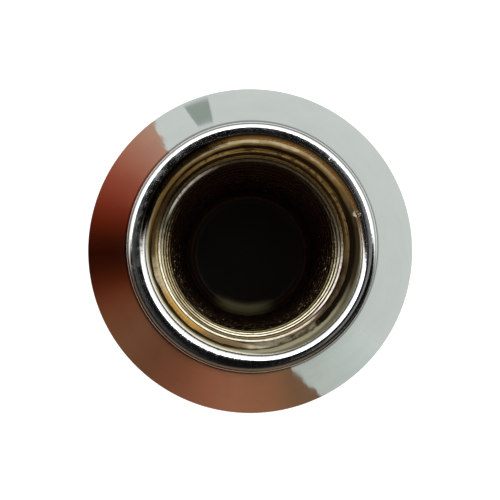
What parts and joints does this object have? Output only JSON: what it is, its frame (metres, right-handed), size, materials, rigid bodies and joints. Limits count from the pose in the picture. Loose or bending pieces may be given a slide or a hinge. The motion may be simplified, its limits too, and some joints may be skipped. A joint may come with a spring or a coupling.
{
  "type": "lug nut",
  "caption": "Closed-end wheel nut with a hexagon, a round bulge, a conical seat and a blind threaded hole under a short rounded lip.",
  "frame": {"origin": "centre of the flat on the closed end, which the nut stands on", "axes": "+Z along the thread's axis, out of the open mouth; +X through a corner of the hexagon"},
  "size_m": [0.0254, 0.0254, 0.035],
  "materials": {
    "bright_plate": "bright nickel and chrome plate, thin and stained gold to brown in the mouth, oily dark steel in the hole"
  },
  "bodies": {
    "root": {"lug_nut": "bright_plate"}
  },
  "joints": []
}
